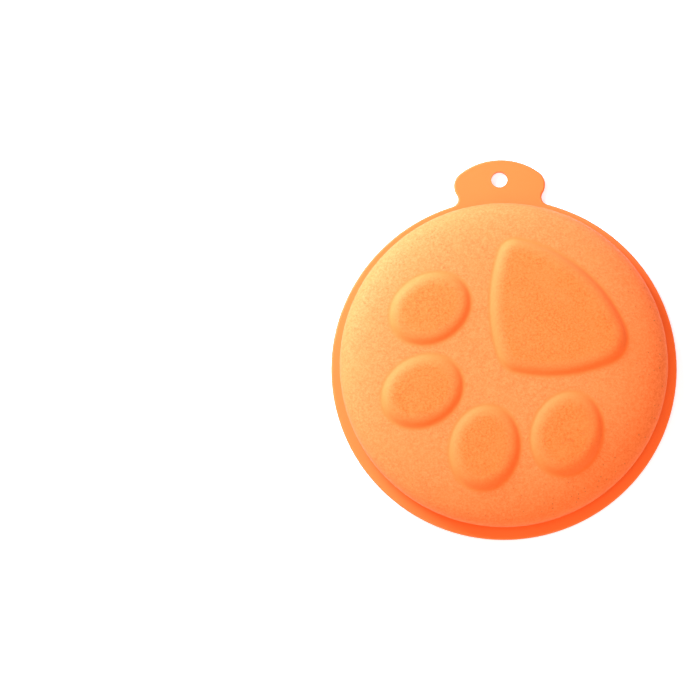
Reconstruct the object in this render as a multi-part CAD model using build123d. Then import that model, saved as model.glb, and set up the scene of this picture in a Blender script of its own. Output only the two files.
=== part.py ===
from build123d import *
import os
from math import atan2, cos, hypot, pi, sin, sqrt

# Padded pet-hair pad for grooming and laundry: a moulded elastomer tray with a hanging tab, and on it
# a foam-filled pillow whose one-piece cover is raised over four toe pads and a palm pad.
# The pad lies on its back. Origin: centre of the tray's flat back face. +Z: out of the pillow.
# +Y: towards the hanging tab. Millimetres.

# --- tray ---------------------------------------------------------------------------------------
tray_radius = 42.5            # rim of the round tray
tray_thickness = 1.6          # rim and tab
tray_edge_round = 0.45        # rounding of the rim's upper and lower edges
seat_depth = 0.4              # shallow recess that the pillow is bonded into
seat_play = 0.25              # gap between the pillow's foot and the recess wall

# --- hanging tab ----------------------------------------------------------------------------------
tab_length = 9.9              # from the rim to the top of the tab
tab_width = 22.6
tab_top_radius = 16.1         # bow of the tab's top edge
tab_corner_radius = 3.9       # lobes at the tab's two upper corners
tab_root_radius = 2.0         # hollow corners where the tab meets the rim
hole_radius = 2.0
hole_inset = 5.0              # from the top of the tab to the hole's centre

# --- pillow ---------------------------------------------------------------------------------------
pillow_radius = 40.2          # at its widest
pillow_offset = 0.4           # pillow's axis from the tray's centre, towards the tab
pillow_waist_height = 5.0     # height of the widest line above the back face
pillow_tuck = 0.9             # how far the foot draws in under the widest line
crown_height = 11.4           # middle of the plain pillow above the back face
crown_radius = 500.0          # gentle bow of the pillow's middle
shoulder_radius = 32.0        # broad fall towards the edge
edge_radius = 3.5             # rounding into the side
cover_skin = 0.8
hem_width = 2.9               # cover turned in under the pillow

# --- raised paw, placed from the pillow's axis ------------------------------------------------------
relief_height = 1.2           # pads above the plain pillow
relief_round = 0.6            # rounding of the pads' upper edges
toe_length = 20.2
toe_width = 16.5
toe_places = [                # node, centre x, centre y, angle of the long axis from +X
    ("toe_pad_outer_left", -17.6, 13.1, 30.0),
    ("toe_pad_inner_left", -19.9, -7.3, 29.0),
    ("toe_pad_inner_right", -5.0, -21.5, 77.0),
    ("toe_pad_outer_right", 15.0, -18.5, 69.0),
]
palm_corners = [              # centre x, centre y, corner radius, anticlockwise
    (3.6, 25.8, 4.0),
    (4.2, 2.3, 5.3),
    (23.3, 5.1, 6.7),
]
palm_side_radii = [41.6, 36.6, 35.6]   # bow of the left, lower and upper right sides

# --- bonding --------------------------------------------------------------------------------------
bond_thickness = 0.15         # adhesive films under the hem and under the core
bond_margin = 0.5             # films stop short of the hem's and the core's edges
foam_play = 0.05              # gap between one soft piece and the next
foam_plug_play = 0.3          # gap between the core's foot and the hem's inner edge

seat_height = tray_thickness - seat_depth
foot_height = seat_height + bond_thickness
hem_top = foot_height + cover_skin
foot_radius = pillow_radius - pillow_tuck
seat_radius = foot_radius + seat_play
hem_inner_radius = foot_radius - hem_width
plug_radius = hem_inner_radius - foam_plug_play


def polar(centre, radius, angle):
    return (centre[0] + radius * cos(angle), centre[1] + radius * sin(angle))


def bearing(start, end):
    return atan2(end[1] - start[1], end[0] - start[0])


def arc_about(centre, radius, start_angle, end_angle):
    middle = (start_angle + end_angle) / 2
    points = [polar(centre, radius, angle) for angle in (start_angle, middle, end_angle)]
    return ThreePointArc(*points)


def meeting_point(centre_a, reach_a, centre_b, reach_b):
    """The point reach_a from centre_a and reach_b from centre_b, on the left of the way from a to b."""
    apart = hypot(centre_b[0] - centre_a[0], centre_b[1] - centre_a[1])
    along = (reach_a**2 - reach_b**2 + apart**2) / (2 * apart)
    aside = sqrt(reach_a**2 - along**2)
    heading = bearing(centre_a, centre_b)
    return polar(polar(centre_a, along, heading), aside, heading + pi / 2)


def face_of(lines):
    return make_face(Curve() + lines)


def revolved(lines):
    """Turn a closed half-profile, drawn as (radius, height), round the Z axis."""
    return revolve(Plane.XZ * face_of(lines), Axis.Z)


def disc(radius, bottom, top):
    return Pos(0, 0, (bottom + top) / 2) * Cylinder(radius, top - bottom)


def on_pillow_axis(shape):
    """Move a shape drawn round the origin to where the pillow sits on the tray."""
    return Pos(0, pillow_offset, 0) * shape


def plain_pillow(inset, bottom):
    """The pillow without its paw, its curved walls moved in by inset, cut flat at bottom."""
    crown_centre = (0.0, crown_height - crown_radius)
    edge_centre = (pillow_radius - edge_radius, pillow_waist_height)
    shoulder_centre = meeting_point(
        crown_centre, crown_radius - shoulder_radius, edge_centre, shoulder_radius - edge_radius
    )
    to_shoulder = bearing(crown_centre, shoulder_centre)
    to_edge = bearing(shoulder_centre, edge_centre)
    crown = arc_about(crown_centre, crown_radius - inset, pi / 2, to_shoulder)
    shoulder = arc_about(shoulder_centre, shoulder_radius - inset, to_shoulder, to_edge)
    edge = arc_about(edge_centre, edge_radius - inset, to_edge, 0)

    tuck_height = pillow_waist_height - foot_height
    tuck_radius = (tuck_height**2 + pillow_tuck**2) / (2 * pillow_tuck)
    tuck_centre = (pillow_radius - tuck_radius, pillow_waist_height)
    side_radius = tuck_radius - inset
    bottom_angle = atan2(
        bottom - pillow_waist_height, sqrt(side_radius**2 - (pillow_waist_height - bottom) ** 2)
    )
    side = arc_about(tuck_centre, side_radius, 0, bottom_angle)
    closing = Polyline(side @ 1, (0, bottom), crown @ 0)
    return revolved([crown, shoulder, edge, side, closing])


def toe_face(centre_x, centre_y, angle, inset):
    return Pos(centre_x, centre_y) * Rot(0, 0, angle) * Ellipse(toe_length / 2 - inset, toe_width / 2 - inset)


def palm_face(inset):
    """Three rounded corners joined by bowed sides, each side tangent to both of its corners."""
    count = len(palm_corners)
    side_centres = []
    for index, side_radius in enumerate(palm_side_radii):
        x_a, y_a, corner_a = palm_corners[index]
        x_b, y_b, corner_b = palm_corners[(index + 1) % count]
        side_centres.append(
            meeting_point((x_a, y_a), side_radius - corner_a, (x_b, y_b), side_radius - corner_b)
        )
    lines = []
    for index, side_radius in enumerate(palm_side_radii):
        following = (index + 1) % count
        x_a, y_a, _ = palm_corners[index]
        x_b, y_b, corner_b = palm_corners[following]
        start = bearing(side_centres[index], (x_a, y_a))
        end = start + (bearing(side_centres[index], (x_b, y_b)) - start) % (2 * pi)
        lines.append(arc_about(side_centres[index], side_radius - inset, start, end))
        next_start = bearing(side_centres[following], (x_b, y_b))
        turned = end + (next_start - end) % (2 * pi)
        lines.append(arc_about((x_b, y_b), corner_b - inset, end, turned))
    return face_of(lines)


def raised_pad(face, inset):
    """The pad's outline, from the waist up to the raised crown, with a rounded upper edge."""
    column = extrude(Pos(0, 0, pillow_waist_height) * face, crown_height)
    pad = column & plain_pillow(inset - relief_height, hem_top)
    top_edge = pad.faces().sort_by(Axis.Z)[-1].outer_wire().edges()
    return fillet(top_edge, relief_round)


def pad_shapes(inset):
    shapes = {name: raised_pad(toe_face(x, y, angle, inset), inset) for name, x, y, angle in toe_places}
    shapes["palm_pad"] = raised_pad(palm_face(inset), inset)
    return shapes


def raised_pillow(inset, bottom):
    solid = plain_pillow(inset, bottom)
    for pad in pad_shapes(inset).values():
        solid = solid + pad
    return solid


def tab_outline():
    """The hanging tab: bowed top, two lobes, and hollow corners that run into the rim."""
    top_centre = (0.0, tray_radius + tab_length - tab_top_radius)
    lobe_x = tab_width / 2 - tab_corner_radius
    lobe_rise = sqrt((tab_top_radius - tab_corner_radius) ** 2 - lobe_x**2)
    lobe_centre = (lobe_x, top_centre[1] + lobe_rise)
    root_centre = meeting_point(
        lobe_centre, tab_corner_radius + tab_root_radius, (0, 0), tray_radius + tab_root_radius
    )
    top = arc_about(top_centre, tab_top_radius, pi / 2, bearing(top_centre, lobe_centre))
    lobe = arc_about(
        lobe_centre, tab_corner_radius, bearing(top_centre, lobe_centre), bearing(lobe_centre, root_centre)
    )
    root_start = bearing(root_centre, lobe_centre)
    root_end = root_start + (bearing(root_centre, (0, 0)) - root_start) % (2 * pi)
    root = arc_about(root_centre, tab_root_radius, root_start, root_end)
    return [top, lobe, root]


def backing_tray():
    half = tab_outline()
    closing = Polyline(half[-1] @ 1, (0, 0), half[0] @ 0)
    half_tab = face_of(half + [closing])
    outline = Circle(tray_radius) + half_tab + mirror(half_tab, Plane.YZ)
    tray = extrude(outline, tray_thickness)
    tray = fillet(tray.edges().group_by(Axis.Z)[-1] + tray.edges().group_by(Axis.Z)[0], tray_edge_round)
    hole = Pos(0, tray_radius + tab_length - hole_inset, tray_thickness / 2) * Cylinder(
        hole_radius, 2 * tray_thickness
    )
    seat = on_pillow_axis(disc(seat_radius, seat_height, 2 * tray_thickness))
    return tray - hole - seat


def hem_bond():
    outer = foot_radius - bond_margin
    inner = hem_inner_radius + bond_margin
    return disc(outer, seat_height, foot_height) - disc(inner, seat_height, foot_height)


def core_bond():
    return disc(plug_radius - bond_margin, seat_height, foot_height)


def pillow_cover():
    cavity = raised_pillow(cover_skin, hem_top)
    opening = disc(hem_inner_radius, foot_height, hem_top)
    return raised_pillow(0, foot_height) - cavity - opening


def foam_core():
    body = plain_pillow(cover_skin + foam_play, hem_top + foam_play)
    return body + disc(plug_radius, foot_height, hem_top + foam_play)


def pad_fillers():
    """The foam piece inside each raised pad: what the cover stands clear of the core by."""
    top_inset = cover_skin + foam_play
    core = plain_pillow(cover_skin, hem_top)
    return {name: pad - core for name, pad in pad_shapes(top_inset).items()}


pillow_nodes = {
    "hem_bond": hem_bond(),
    "core_bond": core_bond(),
    "foam_core": foam_core(),
    "pillow_cover": pillow_cover(),
}
pillow_nodes.update(pad_fillers())

nodes = {"backing_tray": backing_tray()}
nodes.update({name: on_pillow_axis(shape) for name, shape in pillow_nodes.items()})

os.makedirs("parts", exist_ok=True)
for name, shape in nodes.items():
    export_step(shape, f"parts/{name}.step")
    box = shape.bounding_box()
    print(f"{name}: {shape.volume:.2f} mm3, z {box.min.Z:.2f} to {box.max.Z:.2f}")
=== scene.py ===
import bmesh
import bpy
import numpy as np
from math import cos, pi, radians, sin
from mathutils import Matrix, Vector, geometry


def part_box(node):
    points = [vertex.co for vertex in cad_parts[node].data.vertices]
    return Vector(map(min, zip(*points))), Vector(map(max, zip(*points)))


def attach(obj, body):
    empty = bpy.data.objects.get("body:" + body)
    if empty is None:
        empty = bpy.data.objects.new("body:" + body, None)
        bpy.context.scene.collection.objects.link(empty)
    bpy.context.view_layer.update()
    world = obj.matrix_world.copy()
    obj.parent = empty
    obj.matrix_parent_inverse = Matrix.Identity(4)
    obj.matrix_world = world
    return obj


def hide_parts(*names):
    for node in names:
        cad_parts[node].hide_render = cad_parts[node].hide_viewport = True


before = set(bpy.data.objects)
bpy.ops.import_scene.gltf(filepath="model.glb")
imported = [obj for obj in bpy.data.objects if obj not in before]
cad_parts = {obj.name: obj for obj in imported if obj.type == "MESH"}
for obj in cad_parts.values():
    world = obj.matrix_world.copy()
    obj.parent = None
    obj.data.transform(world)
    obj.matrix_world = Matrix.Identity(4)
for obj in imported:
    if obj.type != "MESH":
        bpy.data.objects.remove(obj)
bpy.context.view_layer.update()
scene = bpy.context.scene

MM = 0.001

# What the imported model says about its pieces, in metres.
_, tray_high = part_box("backing_tray")
cover_low, cover_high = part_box("pillow_cover")
_, core_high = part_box("foam_core")
tray_top = tray_high.z
pillow_radius = cover_high.x
pillow_middle = (cover_low.y + cover_high.y) / 2       # the pillow's axis, nearer the tab than the tray's
foot_height = cover_low.z
cover_wall = cover_high.x - core_high.x                # the cover, and the play between it and the foam
crown_height = core_high.z + cover_wall                # middle of the pillow without its paw
relief_height = cover_high.z - crown_height

# --- the view and the studio ---------------------------------------------------------------------
VIEW_ELEVATION = radians(80.5)
VIEW_DISTANCE = 0.958
VIEW_LENS = 200.0                                      # focal length, in millimetres
VIEW_CLIP = (0.01, 20)
FRAME_MIDDLE = Vector((-37.8 * MM, 5.6 * MM, 0.0))     # what the middle of the view looks at
VIEW_LEAN = radians(0.91)                              # makes the pad lean a little to the left

WARM = (1.0, 0.535, 0.365)                             # colour of the soft fill light
COOL = (0.95, 1.0, 1.3)                                # colour of the low side light
WORLD_STRENGTH = 0.55
FLOOR_RADIUS = 6.0
FLOOR_GAP = 0.03 * MM                                  # keeps the floor off the tray's flat back


def view_camera():
    data = bpy.data.cameras.new("camera")
    data.lens = VIEW_LENS
    data.clip_start, data.clip_end = VIEW_CLIP
    camera = bpy.data.objects.new("camera", data)
    scene.collection.objects.link(camera)
    away = Vector((0, -cos(VIEW_ELEVATION), sin(VIEW_ELEVATION)))
    place = Vector((0, 0, tray_top / 2)) + away * VIEW_DISTANCE
    forward = (FRAME_MIDDLE - place).normalized()
    upward = Vector((0, 1, 0))
    right = forward.cross(upward).normalized()
    up = right.cross(forward)
    leaned_right = right * cos(VIEW_LEAN) - up * sin(VIEW_LEAN)
    leaned_up = up * cos(VIEW_LEAN) + right * sin(VIEW_LEAN)
    turn = Matrix((leaned_right, leaned_up, -forward)).transposed()
    camera.matrix_world = Matrix.Translation(place) @ turn.to_4x4()
    scene.camera = camera


def area_light(name, place, size, power, colour):
    data = bpy.data.lights.new(name, "AREA")
    data.shape = "DISK"
    data.size = size
    data.energy = power
    data.color = colour
    light = bpy.data.objects.new(name, data)
    scene.collection.objects.link(light)
    light.location = place
    light.rotation_euler = (-Vector(place)).to_track_quat("-Z", "Y").to_euler()


def studio():
    scene.view_settings.view_transform = "Standard"
    world = bpy.data.worlds.new("studio")
    scene.world = world
    world.use_nodes = True
    background = world.node_tree.nodes["Background"]
    background.inputs["Color"].default_value = (*WARM, 1)
    background.inputs["Strength"].default_value = WORLD_STRENGTH
    area_light("key", place=(-0.225, 0.21, 0.16), size=0.25, power=2.36, colour=COOL)
    area_light("overhead", place=(-0.2, -0.45, 1.05), size=2.0, power=12.9, colour=WARM)

    floor_mesh = bmesh.new()
    bmesh.ops.create_circle(floor_mesh, cap_ends=True, segments=64, radius=FLOOR_RADIUS)
    bmesh.ops.translate(floor_mesh, verts=floor_mesh.verts, vec=(0, 0, -FLOOR_GAP))
    floor = piece("floor", floor_mesh)
    floor.data.materials.append(floor_paper())


# --- mesh helpers --------------------------------------------------------------------------------
WELD_DISTANCE = 0.002 * MM


def piece(name, mesh):
    """Finish a mesh in the making as a smooth-shaded object."""
    data = bpy.data.meshes.new(name)
    mesh.to_mesh(data)
    mesh.free()
    obj = bpy.data.objects.new(name, data)
    scene.collection.objects.link(obj)
    for polygon in data.polygons:
        polygon.use_smooth = True
    return obj


def spun(outline, segments):
    """Turn a profile of (radius, height) points, drawn from the axis and back to it, once round Z."""
    mesh = bmesh.new()
    points = [mesh.verts.new((radius, 0, height)) for radius, height in outline]
    edges = [mesh.edges.new(pair) for pair in zip(points, points[1:])]
    bmesh.ops.spin(
        mesh, geom=points + edges, cent=(0, 0, 0), axis=(0, 0, 1), dvec=(0, 0, 0),
        angle=2 * pi, steps=segments, use_merge=True, use_duplicate=False,
    )
    bmesh.ops.remove_doubles(mesh, verts=mesh.verts, dist=WELD_DISTANCE)
    bmesh.ops.recalc_face_normals(mesh, faces=mesh.faces)
    return mesh


def evenly_spaced(points, step):
    """The same line with its points about one step apart."""
    points = np.array(points)
    along = np.concatenate([[0], np.cumsum(np.hypot(*np.diff(points, axis=0).T))])
    wanted = np.linspace(0, along[-1], max(2, round(along[-1] / step) + 1))
    return np.column_stack([np.interp(wanted, along, line) for line in points.T]).tolist()


def share(value, start, end):
    """0 up to start, 1 from end on, and in step with the value between them."""
    return np.clip((value - start) / (end - start), 0, 1)


# --- the pillow ----------------------------------------------------------------------------------
WAIST_HEIGHT = 5.0 * MM       # the widest line of the pillow above the table
FOOT_TUCK = 0.9 * MM          # how far the foot draws in under it
SHOULDER_SQUARENESS = 4.5     # how late the pillow's top falls away to its edge
HEM_WIDTH = 2.9 * MM
PAD_SPREAD = 0.55 * MM        # the cover starts to rise this far outside a pad
PAD_FOOT = 0.65 * MM          # width of the hollow rounding at a pad's foot
PAD_FLANK_END = 0.4 * MM      # how far inside a pad its flank keeps its slope
PAD_BROW = 3.4 * MM           # how far inside its top is level
BROW_FADE = 2                 # how soon the slope fades between the two
PAD_LEVELLING = 0.5           # how much flatter a pad's top lies than the pillow under it
STRETCH_AND_SHADE_END = 2.8 * MM        # how far inside a pad the cover is still pulled smooth over its edge and given a deeper colour that is partly painted shade
SIDE_SHADE_START = 8.0 * MM         # under this height the cover's colour deepens: painted shade, darker towards the pillow's foot
SIDE_SHADE_END = 5.5 * MM
SHORTEST_SIDE = 0.001 * MM    # shorter sides of a pad's outline are passed over
RING_STEP = 0.34 * MM         # between the outer face's rings of vertices
INNER_STEP = 0.9 * MM         # the same on the hem and the inner face
SPOKES = 320
CURVE_SAMPLES = 2000          # points worked out on the crown before they are spaced evenly
TUCK_SAMPLES = 60             # the same on the side under the widest line
RAMP_SAMPLES = 400            # steps in which a pad's slope is added up
TOE_PADS = ("toe_pad_outer_left", "toe_pad_inner_left", "toe_pad_inner_right", "toe_pad_outer_right")
PADS = (*TOE_PADS, "palm_pad")


def pillow_profile(inset, step):
    """From the middle of the crown to the foot, moved in by inset."""
    radius = pillow_radius - inset
    rise = crown_height - inset - WAIST_HEIGHT
    turn = np.linspace(0, pi / 2, CURVE_SAMPLES) ** 2 / (pi / 2)    # finest where the radius grows fastest
    upper = np.column_stack([
        radius * np.sin(turn) ** (2 / SHOULDER_SQUARENESS),
        WAIST_HEIGHT + rise * np.cos(turn),
    ])
    drop = np.linspace(0, 1, TUCK_SAMPLES)[1:]
    lower = np.column_stack([
        radius - FOOT_TUCK * drop ** 2,
        WAIST_HEIGHT - (WAIST_HEIGHT - foot_height - inset) * drop,
    ])
    return evenly_spaced(np.concatenate([upper, lower]), step)


def pad_outline(node):
    """A convex pad's outline at the cover's outer face, seen from above."""
    flat = [vertex.co.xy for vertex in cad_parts[node].data.vertices]
    return np.array([flat[index] for index in geometry.convex_hull_2d(flat)])


def depth_inside(points, outline):
    """How far inside a convex outline each point is; less than nothing outside it."""
    following = np.roll(outline, -1, axis=0)
    along = following - outline
    length = np.hypot(along[:, 0], along[:, 1])
    keep = length > SHORTEST_SIDE
    start, along, length = outline[keep], along[keep], length[keep]
    inward = np.column_stack([-along[:, 1], along[:, 0]]) / length[:, None]
    middle = outline.mean(axis=0)
    if ((middle - start[0]) * inward[0]).sum() < 0:
        inward = -inward
    offset = (start * inward).sum(axis=1)
    return (points @ inward.T - offset).min(axis=1)


def pad_depths(points):
    """Depth inside each pad's outline at the cover's outer face, one row for each pad."""
    return np.array([depth_inside(points, pad_outline(node)) + cover_wall for node in PADS])


def rise_share(depth):
    """Share of the relief reached at a depth: a rounded foot, a straight flank and a soft brow."""
    ramp = np.linspace(-PAD_SPREAD, PAD_BROW, RAMP_SAMPLES)
    rising = share(ramp, -PAD_SPREAD, PAD_FOOT - PAD_SPREAD)
    ending = share(ramp, PAD_FLANK_END, PAD_BROW)
    height = np.cumsum(rising * (1 - ending) ** BROW_FADE)
    return np.interp(depth, ramp, height / height[-1], left=0)


def raise_paw(vertices):
    """Lift the plain pillow's top over the pads."""
    points = np.array([vertex.co.xy for vertex in vertices])
    plain = np.array([vertex.co.z for vertex in vertices])
    lifts = np.zeros(len(vertices))
    for depth in pad_depths(points):
        level = plain[depth > 0].mean()
        lifts += rise_share(depth) * (relief_height + PAD_LEVELLING * (level - plain))
    for vertex, lift in zip(vertices, lifts):
        vertex.co.z += lift


def refine_near_creases(mesh, lowest):
    """Halve the edges that lie along a pad's foot."""
    middles = np.array([(edge.verts[0].co + edge.verts[1].co).xy / 2 for edge in mesh.edges])
    close = np.abs(pad_depths(middles).max(axis=0)) < 2 * PAD_FOOT
    edges = [e for e, wanted in zip(mesh.edges, close) if wanted and e.verts[0].co.z > lowest]
    bmesh.ops.subdivide_edges(mesh, edges=edges, cuts=1, use_grid_fill=True)


def plain_cover():
    """The cover before its paw is raised: outer face, turned-in hem and inner face in one closed skin."""
    outer = pillow_profile(0, RING_STEP)
    inner = pillow_profile(cover_wall, INNER_STEP)
    hem_edge = outer[-1][0] - HEM_WIDTH
    under = evenly_spaced([outer[-1], (hem_edge, foot_height)], INNER_STEP)[1:]
    back = evenly_spaced([(hem_edge, inner[-1][1]), inner[-1]], INNER_STEP)
    mesh = spun(outer + under + back + inner[::-1][1:], SPOKES)
    bmesh.ops.translate(mesh, verts=mesh.verts, vec=(0, pillow_middle, 0))
    return mesh


def mark(obj, name, values):
    """Give a piece a number at each vertex, for its material to read."""
    obj.data.attributes.new(name, "FLOAT", "POINT").data.foreach_set("value", values)


def make_cover():
    """The cover over the foam, with its paw raised and marked for its colours and its painted shade."""
    mesh = plain_cover()
    refine_near_creases(mesh, WAIST_HEIGHT)
    raise_paw([vertex for vertex in mesh.verts if vertex.co.z > WAIST_HEIGHT])
    cover = piece("cover_sheet", mesh)
    depth = pad_depths(np.array([vertex.co.xy for vertex in cover.data.vertices])).max(axis=0)
    mark(cover, "on_pad", share(depth, PAD_FLANK_END, PAD_BROW))
    # Near each pad's foot the cover is grain-free and deeper in colour: partly the cover pulled smooth,
    # partly painted shade in the pads' flanks.
    onto_pad = share(depth, -2 * PAD_SPREAD, -PAD_SPREAD)
    mark(cover, "stretched_and_shaded", onto_pad * share(depth, STRETCH_AND_SHADE_END, PAD_FLANK_END))
    # The pillow's side is marked for painted shade, darker towards its foot.
    height = np.array([vertex.co.z for vertex in cover.data.vertices])
    mark(cover, "painted_side_shade", share(height, SIDE_SHADE_START, SIDE_SHADE_END))
    cover.data.materials.append(flocked_foam())
    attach(cover, "root")
    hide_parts("pillow_cover")
    return cover


# --- materials -----------------------------------------------------------------------------------
# Colours of the cover: in the hollows and on the tips of its grain, and laid over that.
FIELD_HOLLOWS, FIELD_TIPS = (0.8, 0.195, 0.042), (0.97, 0.322, 0.092)
PAD_HOLLOWS, PAD_TIPS = (0.76, 0.143, 0.018), (0.97, 0.29, 0.059)
MOTTLED_PATCHES = (0.97, 0.283, 0.068)
BROWN_SPECKS = (0.38, 0.14, 0.035)
# grain-free colour over the pads' edges, deeper than the field: partly the cover pulled smooth, partly
# painted shade
STRETCHED_AND_SHADED_COLOUR = (0.97, 0.232, 0.044)
# painted shade on the pillow's side, towards its foot
SIDE_SHADE_COLOUR = (0.95, 0.19, 0.032)


class Finish:
    """A material in the making: its shader, and nodes that read Object coordinates."""

    def __init__(self, name, colour, roughness):
        self.material = bpy.data.materials.new(name)
        self.material.use_nodes = True
        self.tree = self.material.node_tree
        self.shader = self.tree.nodes["Principled BSDF"]
        self.constant("Base Color", (*colour, 1))
        self.constant("Roughness", roughness)
        self.coordinates = self.tree.nodes.new("ShaderNodeTexCoord").outputs["Object"]

    def constant(self, socket, value):
        self.shader.inputs[socket].default_value = value

    def link(self, source, target):
        self.tree.links.new(source, target)

    def noise(self, scale, detail, roughness=0.55, distortion=0.0):
        node = self.tree.nodes.new("ShaderNodeTexNoise")
        node.inputs["Scale"].default_value = scale
        node.inputs["Detail"].default_value = detail
        node.inputs["Roughness"].default_value = roughness
        node.inputs["Distortion"].default_value = distortion
        self.link(self.coordinates, node.inputs["Vector"])
        return node.outputs["Fac"]

    def spots(self, scale):
        """Distance from scattered points, in units of their spacing."""
        node = self.tree.nodes.new("ShaderNodeTexVoronoi")
        node.inputs["Scale"].default_value = scale
        self.link(self.coordinates, node.inputs["Vector"])
        return node.outputs["Distance"]

    def attribute(self, name):
        node = self.tree.nodes.new("ShaderNodeAttribute")
        node.attribute_name = name
        return node.outputs["Fac"]

    def spread(self, value, low, high, to_low=0.0, to_high=1.0):
        """Stretch the range from low to high over the range from to_low to to_high."""
        node = self.tree.nodes.new("ShaderNodeMapRange")
        self.link(value, node.inputs["Value"])
        node.inputs["From Min"].default_value = low
        node.inputs["From Max"].default_value = high
        node.inputs["To Min"].default_value = to_low
        node.inputs["To Max"].default_value = to_high
        return node.outputs["Result"]

    def mixed(self, amount, first, second):
        """The first colour, and the second over it by amount."""
        node = self.tree.nodes.new("ShaderNodeMix")
        node.data_type = "RGBA"
        self.link(amount, node.inputs["Factor"])
        for socket, colour in (("A", first), ("B", second)):
            target = [i for i in node.inputs if i.name == socket and i.type == "RGBA"][0]
            if isinstance(colour, tuple):
                target.default_value = (*colour, 1)
            else:
                self.link(colour, target)
        return [o for o in node.outputs if o.type == "RGBA"][0]

    def paint(self, colour):
        self.link(colour, self.shader.inputs["Base Color"])

    def bump(self, height, strength, distance):
        node = self.tree.nodes.new("ShaderNodeBump")
        node.inputs["Strength"].default_value = strength
        node.inputs["Distance"].default_value = distance
        self.link(height, node.inputs["Height"])
        self.link(node.outputs["Normal"], self.shader.inputs["Normal"])


def flocked_foam():
    """The cover: matt and faintly fuzzy, finely grained with brown specks, smooth over the pads' edges
    with a deeper colour there that is partly painted shade, and painted shade darkening its side towards
    its foot.
    """
    finish = Finish("flocked_foam", (0.95, 0.26, 0.055), roughness=0.7)
    finish.constant("Specular IOR Level", 0.2)
    finish.constant("Sheen Weight", 0.08)
    finish.constant("Sheen Roughness", 0.45)
    finish.constant("Sheen Tint", (1.0, 0.95, 0.85, 1))

    grain = finish.noise(1700, detail=5, roughness=0.8)
    field = finish.mixed(finish.spread(grain, 0.38, 0.62), FIELD_HOLLOWS, FIELD_TIPS)
    pads = finish.mixed(finish.spread(grain, 0.34, 0.66), PAD_HOLLOWS, PAD_TIPS)
    colour = finish.mixed(finish.attribute("on_pad"), field, pads)

    patches = finish.spread(finish.noise(150, detail=4, roughness=0.6), 0.4, 0.7, 0.0, 0.3)
    colour = finish.mixed(patches, colour, MOTTLED_PATCHES)
    specks = finish.spread(finish.spots(700), 0.09, 0.2, 0.5, 0.0)
    colour = finish.mixed(specks, colour, BROWN_SPECKS)
    # over the pads' edges: grain-free, deeper colour, partly painted shade
    smooth_and_shaded_amount = finish.spread(finish.attribute("stretched_and_shaded"), 0.0, 1.0, 0.0, 0.8)
    colour = finish.mixed(smooth_and_shaded_amount, colour, STRETCHED_AND_SHADED_COLOUR)
    # painted shade: the pillow's side darker towards its foot
    side_shade_amount = finish.spread(finish.attribute("painted_side_shade"), 0.0, 1.0, 0.0, 0.7)
    finish.paint(finish.mixed(side_shade_amount, colour, SIDE_SHADE_COLOUR))
    finish.bump(grain, strength=0.3, distance=0.12 * MM)
    return finish.material


def moulded_elastomer():
    """The tray: smooth, satin, evenly coloured."""
    finish = Finish("moulded_elastomer", (0.92, 0.232, 0.046), roughness=0.5)
    finish.constant("Specular IOR Level", 0.3)
    cloud = finish.spread(finish.noise(40, detail=2), 0.35, 0.65)
    finish.paint(finish.mixed(cloud, (0.9, 0.228, 0.045), (0.94, 0.24, 0.049)))
    finish.bump(finish.noise(3500, detail=2), strength=0.12, distance=0.03 * MM)
    return finish.material


def open_cell_foam():
    """The core and the pads' fillers: pale and pitted with fine cells."""
    finish = Finish("open_cell_foam", (0.9, 0.5, 0.25), roughness=0.9)
    cells = finish.spots(1400)
    finish.paint(finish.mixed(finish.spread(cells, 0.1, 0.5), (0.7, 0.33, 0.14), (0.95, 0.56, 0.3)))
    finish.bump(cells, strength=0.6, distance=0.2 * MM)
    return finish.material


def dried_adhesive():
    """The bonding films: creamy, streaked, slightly glossy."""
    finish = Finish("dried_adhesive", (0.85, 0.72, 0.5), roughness=0.35)
    streaks = finish.noise(300, detail=2, distortion=0.6)
    finish.paint(finish.mixed(finish.spread(streaks, 0.3, 0.7), (0.78, 0.63, 0.4), (0.9, 0.8, 0.6)))
    finish.bump(streaks, strength=0.3, distance=0.05 * MM)
    return finish.material


def floor_paper():
    """White paper, lit through so that it stays white in the pad's shade."""
    finish = Finish("floor_paper", (0.9, 0.94, 0.98), roughness=0.9)
    cloud = finish.spread(finish.noise(3, detail=2), 0.3, 0.7)
    finish.paint(finish.mixed(cloud, (0.89, 0.93, 0.98), (0.91, 0.95, 1.0)))
    finish.constant("Emission Color", (0.48, 0.8, 1, 1))
    finish.constant("Emission Strength", 0.66)
    return finish.material


def refinish(node, material):
    """Give a CAD node its finish."""
    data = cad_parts[node].data
    data.materials.clear()
    data.materials.append(material)


# --- the whole -----------------------------------------------------------------------------------
view_camera()
studio()
make_cover()
refinish("backing_tray", moulded_elastomer())
foam = open_cell_foam()
for node in ("foam_core", *PADS):
    refinish(node, foam)
adhesive = dried_adhesive()
for node in ("hem_bond", "core_bond"):
    refinish(node, adhesive)
